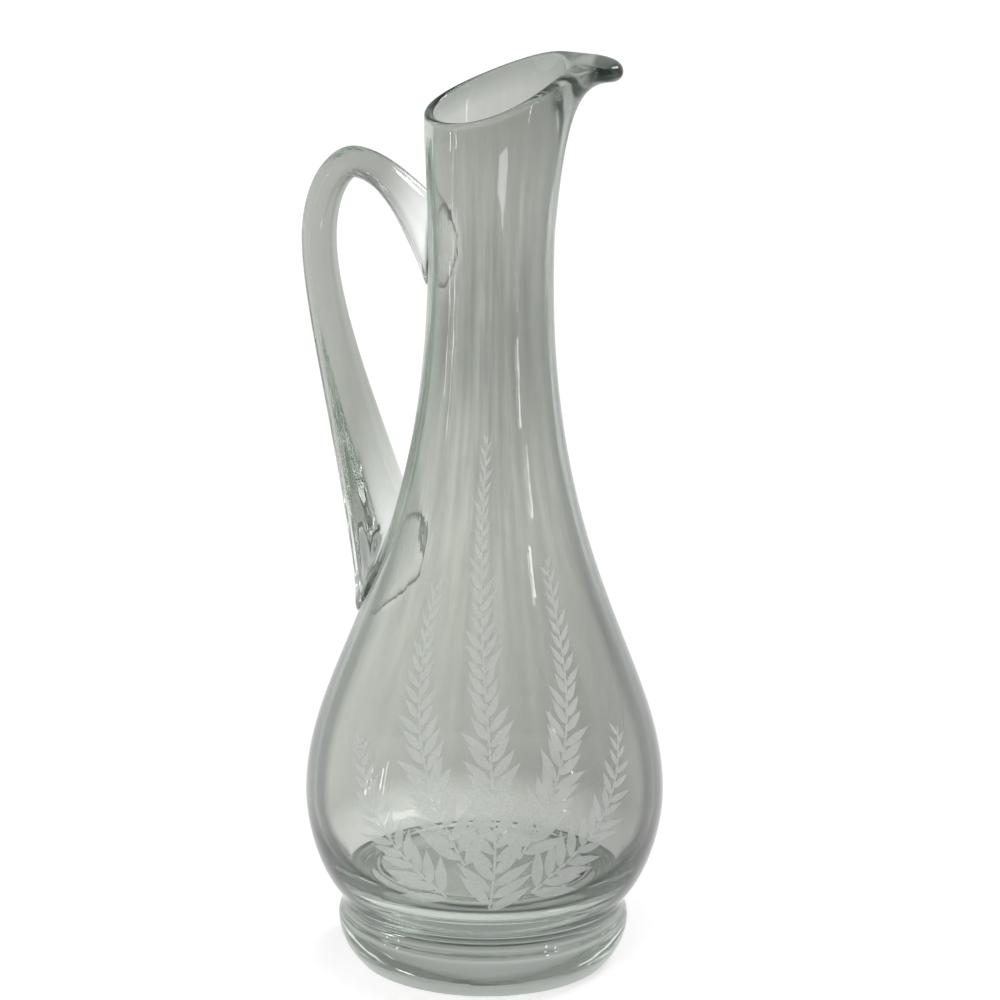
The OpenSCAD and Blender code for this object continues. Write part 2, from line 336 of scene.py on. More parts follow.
    # Light that grazes the wall runs on inside it, from a steeper angle in the narrow neck than in the belly; there
    # the tint deepens, partly for that longer way through the glass and partly as painted dark edge shade
    graze = add(tree, "ShaderNodeFresnel", {"IOR": GLASS_IOR}).outputs[0]
    first = add(tree, "ShaderNodeMapRange", {"Value": axes[2], "From Min": 60 * MM, "From Max": 210 * MM,
                                             "To Min": 0.13, "To Max": 0.075}).outputs[0]
    last = add(tree, "ShaderNodeMath", {0: first, 1: EDGE_RUN}, operation="ADD").outputs[0]
    edge = add(tree, "ShaderNodeMapRange", {"Value": graze, "From Min": first, "From Max": last}).outputs[0]
    plain = add(tree, "ShaderNodeMath", {0: 1.0, 1: rim}, operation="SUBTRACT").outputs[0]
    edge = add(tree, "ShaderNodeMath", {0: edge, 1: plain}, operation="MULTIPLY").outputs[0]
    # The painted edge shade is darkest on the lip's side and low on the belly
    edge_shade = add(tree, "ShaderNodeValToRGB", {0: graze},
               stops=[(0.15, linear("#a4aea5")), (0.5, linear("#566158"))]).outputs[0]
    edge_shade_scale = add(tree, "ShaderNodeMapRange", {"Value": axes[0], "From Min": -20 * MM, "From Max": 20 * MM,
                                             "To Min": 1.6, "To Max": 0.75}).outputs[0]
    low = add(tree, "ShaderNodeMapRange", {"Value": axes[2], "From Min": 30 * MM, "From Max": 150 * MM,
                                           "To Min": 0.13, "To Max": 1.0}).outputs[0]
    edge_shade_scale = add(tree, "ShaderNodeMath", {0: edge_shade_scale, 1: low}, operation="MULTIPLY").outputs[0]
    edge_shade = add(tree, "ShaderNodeVectorMath", {0: edge_shade, "Scale": edge_shade_scale}, operation="SCALE").outputs[0]
    tint = add(tree, "ShaderNodeMix", {0: edge, 6: wall, 7: edge_shade}, data_type="RGBA").outputs[2]
    ripple = add(tree, "ShaderNodeTexNoise", {"Vector": place, "Scale": 1 / (RIPPLE * MM), "Detail": 1.0}).outputs[0]
    bump = add(tree, "ShaderNodeBump", {"Height": ripple, "Strength": 0.15, "Distance": 0.4 * MM}).outputs[0]
    bump = add(tree, "ShaderNodeBump", {
        "Height": cords, "Strength": 0.5, "Distance": 0.12 * MM, "Normal": bump}).outputs[0]
    shader = add(tree, "ShaderNodeBsdfPrincipled", {
        "Base Color": tint, "Roughness": soft, "IOR": GLASS_IOR, "Transmission Weight": 1.0, "Normal": bump})
    depth = add(tree, "ShaderNodeVolumeAbsorption", {"Color": (0.62, 0.69, 0.64, 1), "Density": 15.0})
    add(tree, "ShaderNodeOutputMaterial", {"Surface": shader.outputs[0], "Volume": depth.outputs[0]})
    return material


def solid_glass(name, tint, density, streak):
    """Solid worked glass: clear, with its own green growing with the thickness, streaks drawn out by the working,
    of the given size in millimetres along X, Y and Z, painted shade at its edges where the view grazes it, clearest
    at a seat, and with painted dark shade along the join around the seat."""
    material, tree = new_material(name)
    place = add(tree, "ShaderNodeTexCoord").outputs["Object"]
    spot = add(tree, "ShaderNodeVectorMath", {0: place, 1: [side * MM for side in streak]},
               operation="DIVIDE").outputs[0]
    ripple = add(tree, "ShaderNodeTexNoise", {"Vector": spot, "Scale": 1.0, "Detail": 2.0}).outputs[0]
    shade = add(tree, "ShaderNodeMapRange", {"Value": ripple, "From Min": 0.3, "From Max": 0.7,
                                             "To Min": 0.94, "To Max": 1.03}).outputs[0]
    colour = add(tree, "ShaderNodeVectorMath", {0: linear(tint)[:3], "Scale": shade}, operation="SCALE").outputs[0]
    graze = add(tree, "ShaderNodeFresnel", {"IOR": GLASS_IOR}).outputs[0]
    edge = add(tree, "ShaderNodeMapRange", {"Value": graze, "From Min": 0.12, "From Max": 0.5}).outputs[0]
    seat = add(tree, "ShaderNodeAttribute", attribute_name="seat").outputs["Fac"]
    seam = add(tree, "ShaderNodeAttribute", attribute_name="seam").outputs["Fac"]
    # Painted shade darkens the edges, where the view grazes the glass, and the join around a seat; the seat itself is
    # clear
    for share, hue in ((edge, "#7d837d"), (seat, "#fbfcfa"), (seam, "#4a534b")):
        colour = add(tree, "ShaderNodeMix", {0: share, 6: colour, 7: linear(hue)}, data_type="RGBA").outputs[2]
    bump = add(tree, "ShaderNodeBump", {"Height": ripple, "Strength": 0.3, "Distance": 0.4 * MM}).outputs[0]
    shader = add(tree, "ShaderNodeBsdfPrincipled", {
        "Base Color": colour, "Roughness": 0.0, "IOR": GLASS_IOR, "Transmission Weight": 1.0, "Normal": bump})
    depth = add(tree, "ShaderNodeVolumeAbsorption", {"Color": (0.62, 0.75, 0.65, 1), "Density": density})
    add(tree, "ShaderNodeOutputMaterial", {"Surface": shader.outputs[0], "Volume": depth.outputs[0]})
    return material


def etched_glass():
    """Glass that a wheel has cut matt: a pale, dry frost with the wheel's fine grain."""
    material, tree = new_material("wheel_cut_frost")
    place = add(tree, "ShaderNodeTexCoord").outputs["Object"]
    # The wheel's grit leaves marks of about 0.05 mm; they are drawn at 0.6 mm so that they show
    grain = add(tree, "ShaderNodeTexNoise", {"Vector": place, "Scale": 1 / (GRAIN * MM), "Detail": 3.0}).outputs[0]
    frost = add(tree, "ShaderNodeValToRGB", {0: grain},
                stops=[(0.3, linear("#e2e7e2")), (0.7, linear("#fafcfa"))]).outputs[0]
    bump = add(tree, "ShaderNodeBump", {"Height": grain, "Strength": 0.3, "Distance": 0.05 * MM}).outputs[0]
    shader = add(tree, "ShaderNodeBsdfPrincipled", {
        "Base Color": frost, "Roughness": 0.7, "Alpha": 0.42, "Transmission Weight": 0.3, "Normal": bump})
    add(tree, "ShaderNodeOutputMaterial", {"Surface": shader.outputs[0]})
    return material


vessel_glass = blown_glass()
# The foot is 90 mm of glass across; its tint is kept almost clear and its green weak, painted light that lifts the
# paper seen through it, which the foot's own shadow shades
foot_glass = solid_glass("pressed_foot_glass", "#fbfdfa", 5.0, (30, 30, 5))
# The handle was drawn from a hot rod and laid on
handle_glass = solid_glass("drawn_rod_glass", "#a9aca6", 8.0, (5, 5, 40))
frost = etched_glass()


# The vessel: a section for each angle around the axis
FILLET_POINTS, BELLY_STEPS, NECK_STEPS, GROOVE_STEPS = 12, 28, 56, 14
FLOOR_RINGS = (0.75, 0.5, 0.25, 0)
fillet_middle = np.array([WAIST_R + WAIST_FILLET, WAIST_Z])
belly = np.array([BELLY_R, BELLY_Z])
neck = np.array([NECK_R, NECK_Z])
belly_in = belly - [BELLY_WALL, 0]
neck_in = neck - [NECK_WALL, 0]
floor_edge = np.array([FLOOR_R, FLOOR_Z])


def fillet_point(turn):
    return fillet_middle - WAIST_FILLET * round_way(-turn)


fillet_end = fillet_point(FILLET_TURN)
fillet_line = np.array([fillet_point(turn) for turn in np.linspace(0, FILLET_TURN, FILLET_POINTS)])
belly_line = bezier([fillet_end, fillet_end + leaning(BELLY_SPREAD, FILLET_TURN), belly - up(BELLY_UNDER), belly],
                    BELLY_STEPS)


def neck_line(widest, narrowest):
    return bezier([widest, widest + up(BELLY_OVER), narrowest - leaning(NECK_DROP, NECK_LEAN), narrowest], NECK_STEPS)


outer_line = np.vstack([fillet_line, belly_line[1:], neck_line(belly, neck)[1:]])
floor_line = bezier([floor_edge, floor_edge + [FLOOR_SPREAD, 0], belly_in - up(BELLY_UNDER), belly_in], BELLY_STEPS)
inner_line = np.vstack([floor_line, neck_line(belly_in, neck_in)[1:]])
bottom_disc = [(WAIST_R * share, WAIST_Z) for share in DISC_RINGS]
# A shallow groove runs round the floor's edge, where the belly was blown against its thick bottom
groove = [(FLOOR_R - GROOVE_W * t, FLOOR_Z - GROOVE_DEPTH * math.sin(math.pi * t) ** 2)
          for t in np.linspace(0, 1, GROOVE_STEPS + 1)[1:]]
floor_disc = groove + [(FLOOR_R * share, FLOOR_Z) for share in FLOOR_RINGS]


# Steps up the mouth's wall, round its bead and over its crown
WALL_STEPS, BEAD_STEPS, CROWN_STEPS = 30, 16, 18


def lip_share(angle):
    return math.exp(-(angle / LIP_SPREAD) ** 2)


def mouth_line(angle):
    """The mouth at an angle from the lip: outer wall, bead, crown and throat, as separate lines."""
    share = lip_share(angle)
    towards_lip = math.cos(math.radians(angle))
    hole = MOUTH_R + MOUTH_SHIFT * towards_lip
    slant = math.radians(angle - MOUTH_TURN)
    crest = MOUTH_Z + MOUTH_RISE * math.cos(slant) + MOUTH_SAG * math.cos(2 * slant) + LIP_LIFT * share
    edge = hole + RIM_T + (LIP_REACH - MOUTH_R - MOUTH_SHIFT - RIM_T) * share
    bead = mix(RIM_T, LIP_T, share ** 3) / 2
    middle = np.array([edge - bead, crest - bead])
    start = -90 * share
    under = middle + bead * round_way(start)
    rise = leaning(FLARE_SHARE * (under[1] - NECK_Z), NECK_LEAN + LIP_LEAN * (1 + towards_lip) / 2)
    wall = bezier([neck, neck + rise, under - FLARE_RUN * round_way(start + 90), under], WALL_STEPS)
    arc = np.array([middle + bead * round_way(a) for a in np.linspace(start, 90, BEAD_STEPS + 1)])
    crown_top = middle + up(bead)
    rim = np.array([hole, crest - mix(RIM_DIP, LIP_DIP, share)])
    crown = np.array([crown_top + (rim - crown_top) * [math.sin(a), 1 - math.cos(a)]
                      for a in np.linspace(0, math.pi / 2, CROWN_STEPS + 1)])
    throat = bezier([rim, rim - up(THROAT_HIGH), neck_in + leaning(THROAT_LOW, NECK_LEAN), neck_in], WALL_STEPS)
    return wall, arc, crown, throat


def vessel_section(angle):
    wall, arc, crown, throat = mouth_line(angle)
    return np.vstack([bottom_disc, outer_line, wall[1:], arc[1:], crown[1:], throat[1:],
                      inner_line[-2::-1], floor_disc])


# How much of each row of a section belongs to the melted rim
RIM_STEPS = 7
fade = np.clip((np.arange(1, WALL_STEPS + 1) - WALL_STEPS + RIM_STEPS) / RIM_STEPS, 0, 1)
rim_rows = np.concatenate([np.zeros(len(bottom_disc) + len(outer_line)), fade, np.ones(BEAD_STEPS + CROWN_STEPS),
                           fade[::-1], np.zeros(len(inner_line) - 1 + len(floor_disc))])

# How much of the rim's own finish the solid lip takes away
RIM_LOST_IN_LIP = 0.8
# Where the rim turns out into the lip, in degrees from the lip
LIP_ROOT, LIP_ROOT_SPREAD = 28.0, 10.0
# Sections around the axis, set closer near the lip
MERIDIANS = 240
LIP_DENSITY = 0.5


def meridian_angle(i):
    u = 2 * i / MERIDIANS - 1
    return 180 * (u - LIP_DENSITY * math.sin(math.pi * u) / math.pi)


def vessel_shell():
    angles = [meridian_angle(i) for i in range(MERIDIANS)]
    sections = [vessel_section(a) for a in angles]
    rows = len(sections[0]) - 2
    points = [(0, 0, sections[0][0][1])]
    for section, angle in zip(sections, angles):
        way = round_way(angle)
        points += [(p[0] * way[0], p[0] * way[1], p[1]) for p in section[1:-1]]
    points.append((0, 0, sections[0][-1][1]))
    last = len(points) - 1
    faces = []
    for j in range(MERIDIANS):
        here = 1 + j * rows
        there = 1 + (j + 1) % MERIDIANS * rows
        faces.append((0, there, here))
        faces += [(here + k, there + k, there + k + 1, here + k + 1) for k in range(rows - 1)]
        faces.append((last, here + rows - 1, there + rows - 1))
    rim = [0, *np.concatenate([rim_rows[1:-1] * (1 - RIM_LOST_IN_LIP * lip_share(a)) for a in angles]), 0]
    root = [0, *np.concatenate([rim_rows[1:-1] * math.exp(-((abs(a) - LIP_ROOT) / LIP_ROOT_SPREAD) ** 2)
                                for a in angles]), 0]
    return mesh_piece("vessel_shell", points, faces, vessel_glass,
                      {"rim": rim, "root": root, "seat": seat_shares(points)})


# Geometry Nodes: a tree is built once, its inputs are set by their identifiers, and the result is kept as a mesh
def new_tree(name, inputs):
    tree = bpy.data.node_groups.new(name, "GeometryNodeTree")
    for label, kind in inputs:
        tree.interface.new_socket(label, in_out="INPUT", socket_type="NodeSocket" + kind)
    tree.interface.new_socket("Geometry", in_out="OUTPUT", socket_type="NodeSocketGeometry")
    return tree, add(tree, "NodeGroupInput").outputs


def finish_tree(tree, geometry, material):
    real = add(tree, "GeometryNodeRealizeInstances", {0: geometry}).outputs[0]
    done = add(tree, "GeometryNodeSetMaterial", {"Geometry": real, "Material": material}).outputs[0]
    add(tree, "NodeGroupOutput", {0: done})


def grown_piece(name, data, tree, values):
    """The mesh that a tree makes from curve or mesh data, as a plain piece."""
    seed = bpy.data.objects.new(name + "_seed", data)
    scene.collection.objects.link(seed)
    modifier = seed.modifiers.new(name, "NODES")
    modifier.node_group = tree
    for item in tree.interface.items_tree:
        if item.in_out == "INPUT" and item.name in values:
            modifier[item.identifier] = values[item.name]
    graph = bpy.context.evaluated_depsgraph_get()
    mesh = bpy.data.meshes.new_from_object(seed.evaluated_get(graph), depsgraph=graph)
    seed.modifiers.remove(modifier)
    bpy.data.objects.remove(seed)
    mesh.name = name
    mesh.materials.clear()
    mesh.materials.append(values["Material"])
    piece = bpy.data.objects.new(name, mesh)
    scene.collection.objects.link(piece)
    return piece


# The foot: an outline turned about the axis
def turning_tree():
    tree, given = new_tree("turned_outline", [
        ("Outline", "Geometry"), ("Points", "Int"), ("Segments", "Int"), ("Weld", "Float"), ("Material", "Material")])
    columns = add(tree, "FunctionNodeIntegerMath", {0: given["Segments"], 1: 1}, operation="ADD").outputs[0]
    grid = add(tree, "GeometryNodeMeshGrid", {"Vertices X": columns, "Vertices Y": given["Points"]}).outputs[0]
    index = add(tree, "GeometryNodeInputIndex").outputs[0]
    row = add(tree, "FunctionNodeIntegerMath", {0: index, 1: given["Points"]}, operation="MODULO").outputs[0]
    column = add(tree, "FunctionNodeIntegerMath", {0: index, 1: given["Points"]}, operation="DIVIDE_FLOOR").outputs[0]
    position = add(tree, "GeometryNodeInputPosition").outputs[0]
    point = add(tree, "GeometryNodeSampleIndex", {"Geometry": given["Outline"], "Value": position, "Index": row},
                data_type="FLOAT_VECTOR").outputs[0]
    share = add(tree, "ShaderNodeMath", {0: column, 1: given["Segments"]}, operation="DIVIDE").outputs[0]
    angle = add(tree, "ShaderNodeMath", {0: share, 1: 2 * math.pi}, operation="MULTIPLY").outputs[0]
    turned = add(tree, "ShaderNodeVectorRotate", {"Vector": point, "Angle": angle}, rotation_type="Z_AXIS").outputs[0]
    skin = add(tree, "GeometryNodeSetPosition", {"Geometry": grid, "Position": turned}).outputs[0]
    skin = add(tree, "GeometryNodeMergeByDistance", {"Geometry": skin, "Distance": given["Weld"]}).outputs[0]
    skin = add(tree, "GeometryNodeSetShadeSmooth", {"Geometry": skin}).outputs[0]
    finish_tree(tree, skin, given["Material"])
    return tree


# The foot's bends, as shares of its steps out and up
CORNER_OUT, CORNER_UP, SIDE_BEND = 0.4, 0.2, 0.45
# Its mesh: steps along each bend and around the axis, and the weld in millimetres
FOOT_STEPS, FOOT_SEGMENTS = 30, 192
FOOT_WELD = 0.002
foot_side = np.array([FOOT_R, FOOT_WIDE_Z])
waist = np.array([WAIST_R, WAIST_Z])
foot_corner = np.array([FOOT_BASE_R, 0.0])
corner_way = np.array([(FOOT_R - FOOT_BASE_R) * CORNER_OUT, FOOT_WIDE_Z * CORNER_UP])
side_bend = up(FOOT_WIDE_Z * SIDE_BEND)
waist_bend = up((WAIST_Z - FOOT_WIDE_Z) * SIDE_BEND)
foot_outline = np.vstack([
    [(FOOT_BASE_R * share, 0) for share in DISC_RINGS],
    bezier([foot_corner, foot_corner + corner_way, foot_side - side_bend, foot_side], FOOT_STEPS),
    bezier([foot_side, foot_side + waist_bend, waist - waist_bend, waist], FOOT_STEPS)[1:],
    [((WAIST_R - FUSED) * share, WAIST_Z + FUSED) for share in (1, *DISC_RINGS[::-1])]])
outline_mesh = bpy.data.meshes.new("foot_outline")
outline_mesh.from_pydata([(r * MM, 0, z * MM) for r, z in foot_outline],
                         [(i, i + 1) for i in range(len(foot_outline) - 1)], [])
foot = grown_piece("foot_disc", outline_mesh, turning_tree(), {
    "Points": len(foot_outline), "Segments": FOOT_SEGMENTS, "Weld": FOOT_WELD * MM, "Material": foot_glass})
foot.data.set_sharp_from_angle(angle=SHARP)


# The handle: a rod along a curve in an upright plane, cut to the vessel's skin at both ends
def skin_r(angle, z):
    """The vessel's outer radius at an angle from the lip and a height."""
    if z <= NECK_Z:
        return float(np.interp(z, outer_line[:, 1], outer_line[:, 0]))
    wall = mouth_line(angle)[0]
    return float(np.interp(z, wall[:, 1], wall[:, 0]))


upper_way = round_way(UPPER_SEAT_RISE)
upper_touch = np.array([skin_r(180 - HANDLE_TURN, UPPER_SEAT_Z), UPPER_SEAT_Z])
upper_end = upper_touch - (UPPER_PAD_DEPTH / 2 * upper_way[1] + SEAT_SINK) / upper_way[0] * upper_way
loop_top = np.array([LOOP_TOP_X, LOOP_TOP_Z - ROD_TOP_R])
outermost = np.array([HANDLE_REACH - ROD_R, HANDLE_REACH_Z])
tail_end = np.array([skin_r(180, LOWER_TAIL_Z) - LOWER_PAD_DEPTH / 2 - SEAT_SINK, LOWER_TAIL_Z])
arms = [
    [upper_end, upper_end + UPPER_BEND * upper_way, loop_top - [TOP_BEND_IN, 0], loop_top],
    [loop_top, loop_top + [TOP_BEND_OUT, 0], outermost + up(REACH_BEND_UP), outermost],
    [outermost, outermost - up(REACH_BEND_DOWN), tail_end + leaning(TAIL_BEND, LOWER_SEAT_LEAN), tail_end]]


def rod_station(s):
    """Centre, way, and the radii in the plane and across it, at 0 to 3 along the three arms."""
    arm = min(int(s), 2)
    t = s - arm
    p = np.array(arms[arm], float)
    centre = cubic(p, t)
    way = (1 - t) ** 2 * (p[1] - p[0]) + 2 * t * (1 - t) * (p[2] - p[1]) + t * t * (p[3] - p[2])
    way = way / np.linalg.norm(way)
    if arm == 0:
        size = ease((1 - t) ** UPPER_SWELL)
        return centre, way, mix(ROD_TOP_R, UPPER_PAD_DEPTH / 2, size), mix(ROD_TOP_R, UPPER_PAD_WIDTH / 2, size)
    if arm == 1:
        return centre, way, mix(ROD_TOP_R, ROD_R, t), mix(ROD_TOP_R, ROD_R, t)
    size = ease(t ** LOWER_SWELL)
    return centre, way, mix(ROD_R, LOWER_PAD_DEPTH / 2, size), mix(ROD_R, LOWER_PAD_WIDTH / 2, size)


def rod_point(s, side, swell=0.0):
    """A point of the rod's surface in the part's frame, pushed out by a swell in millimetres."""
    centre, way, deep, wide = rod_station(s)
    turn = math.radians(side)
    waves = sum(1 + math.sin(count * turn + twist * s) for count, twist in FURROWS)
    left = 1 - FURROW * waves / (2 * len(FURROWS))
    deep, wide = deep * left + swell, wide * left + swell
    reach = centre[0] - way[1] * deep * math.cos(turn)
    z = centre[1] + way[0] * deep * math.cos(turn)
    across = wide * math.sin(turn)
    c, n = round_way(180 - HANDLE_TURN)
    return np.array([reach * c - across * n, reach * n + across * c, z])


def depth_under_skin(s, side):
    """How deep a point of the rod lies under the skin that it is laid on."""
    x, y, z = rod_point(s, side)
    angle = math.degrees(math.atan2(y, x))
    return skin_r(angle, z) + LAID_ON - math.hypot(x, y)


def seat_crossing(side, start, end, steps=60, halvings=30):
    """Where one of the rod's sides comes out of the skin, on the way from one station to another."""
    inside, outside = start, end
    for s in np.linspace(start, end, steps):
        if depth_under_skin(s, side) < 0:
            outside = s
            break
        inside = s
    for _ in range(halvings):
        middle = (outside + inside) / 2
        if depth_under_skin(middle, side) > 0:
            inside = middle
        else:
            outside = middle
    return (outside + inside) / 2


ROD_SIDES = 64
ROD_RINGS = 150
sides = [360 * k / ROD_SIDES for k in range(ROD_SIDES)]
upper_cut = np.array([seat_crossing(a, 0.0, 1.0) for a in sides])
lower_cut = np.array([seat_crossing(a, 3.0, 2.0) for a in sides])


def seat_cap(rim, rings=10):
    """Rings from a seat's rim to its middle, all on the skin."""
    rim = np.array(rim)
    turn = np.degrees(np.unwrap(np.arctan2(rim[:, 1], rim[:, 0])))
    middle_turn, middle_z = turn.mean(), rim[:, 2].mean()
    out = []
    for share in np.linspace(1, 0, rings + 1)[1:-1]:
        for t, z in zip(turn, rim[:, 2]):
            angle, height = mix(middle_turn, t, share), mix(middle_z, z, share)
            radius = skin_r((angle + 180) % 360 - 180, height) + LAID_ON
            out.append((*(radius * round_way(angle)), height))
    radius = skin_r((middle_turn + 180) % 360 - 180, middle_z) + LAID_ON
    return out + [(*(radius * round_way(middle_turn)), middle_z)]


# How far along the rod, from each end, its seat reaches
UPPER_SEAT, LOWER_SEAT = 0.2, 0.13
# The hot glass that was squeezed out in a roll around each seat: its bulge, and its height above the skin
ROLL, ROLL_RUN = 0.8, 1.2
# How fast the painted dark shade along a seat's join fades above the skin
SEAM_SHADE_DROP = 4
# How much closer the rings stand at the ends, and how fast their slant fades along the rod
END_DENSITY = 0.85
CUT_FADE = 4
# The oval of the vessel's wall that a seat covers: its edge as a share of the seat, and how far it fades
SEAT_EDGE, SEAT_FADE = 1.15, 0.3


def handle_rod():
    points, faces, shares, seams = [], [], [], []
    for i in range(ROD_RINGS + 1):
        u = i / ROD_RINGS
        u -= END_DENSITY * math.sin(2 * math.pi * u) / (2 * math.pi)
        shares += [ease(max(0, 1 - u / UPPER_SEAT, 1 - (1 - u) / LOWER_SEAT))] * ROD_SIDES
        base = mix(upper_cut.mean(), lower_cut.mean(), u)
        for k, side in enumerate(sides):
            s = base + (upper_cut[k] - upper_cut.mean()) * (1 - u) ** CUT_FADE
            s += (lower_cut[k] - lower_cut.mean()) * u ** CUT_FADE
            height = max(0, -depth_under_skin(s, side)) / ROLL_RUN
            points.append(rod_point(s, side, ROLL * height * math.exp(1 - height)))
            seams.append(math.exp(-SEAM_SHADE_DROP * height ** 2))

    def join(a, b):
        for k in range(ROD_SIDES):
            n = (k + 1) % ROD_SIDES
            faces.append((a + k, b + k, b + n, a + n))

    for i in range(ROD_RINGS):
        join(i * ROD_SIDES, (i + 1) * ROD_SIDES)
    last = ROD_RINGS * ROD_SIDES
    for first, flip in ((0, True), (last, False)):
        cap = seat_cap(points[first:first + ROD_SIDES])
        start = len(points)
        points.extend(cap)
        shares.extend([1] * len(cap))
        seams.extend([0] * len(cap))
        rows = [first] + [start + r * ROD_SIDES for r in range((len(cap) - 1) // ROD_SIDES)]
        for a, b in zip(rows, rows[1:]):
            join(b, a) if flip else join(a, b)
        centre = len(points) - 1
        for k in range(ROD_SIDES):
            n = (k + 1) % ROD_SIDES
            faces.append((rows[-1] + k, rows[-1] + n, centre) if flip else (rows[-1] + n, rows[-1] + k, centre))
    return mesh_piece("handle_rod", points, faces, handle_glass, {"seat": shares, "seam": seams})


def seat_shares(points):
    """How much each point of the vessel lies under one of the handle's seats, which are near ovals."""
    points = np.array(points)
    turn = np.arctan2(points[:, 1], points[:, 0]) % (2 * math.pi)
    shares = np.zeros(len(points))
    for cut in (upper_cut, lower_cut):
        rim = np.array([rod_point(s, side) for s, side in zip(cut, sides)])
        oval = np.array([np.arctan2(rim[:, 1], rim[:, 0]) % (2 * math.pi), rim[:, 2]])
        middle, half = (oval.max(axis=1) + oval.min(axis=1)) / 2, np.ptp(oval, axis=1) / 2
        away = np.hypot((turn - middle[0]) / half[0], (points[:, 2] - middle[1]) / half[1])
        shares = np.maximum(shares, np.clip((SEAT_EDGE - away) / SEAT_FADE, 0, 1))
    return shares


vessel = vessel_shell()
handle = handle_rod()


# The engraving: leaf strokes along stems, drawn flat as a way around the belly and a height, and wrapped on it
STEM_STEPS = 24
# A stroke's points along and across it, and the power that puts its widest place nearer to the stem
STROKE_POINTS = (9, 3)
LEAF_BELLY = 0.75
# How far off its stem's point a stroke starts, as a share of its length, so that no two share a corner
STEM_GAP = 0.03
# The stem's own strokes are this much longer than their spacing, so that they overlap
STEM_OVERLAP = 1.5
# The drawing is sent in to the skin from this far outside, in metres
FAR_OUT = 0.1
SPRAY = [[(0, 34), (6, 80), (-10, 125), (-3, 178)],
         [(-7, 50), (-16, 72), (-30, 92), (-27, 132)], [(8, 52), (18, 74), (33, 90), (30, 138)],
         [(-12, 38), (-24, 50), (-36, 60), (-44, 82)], [(12, 40), (24, 52), (38, 60), (46, 84)]]


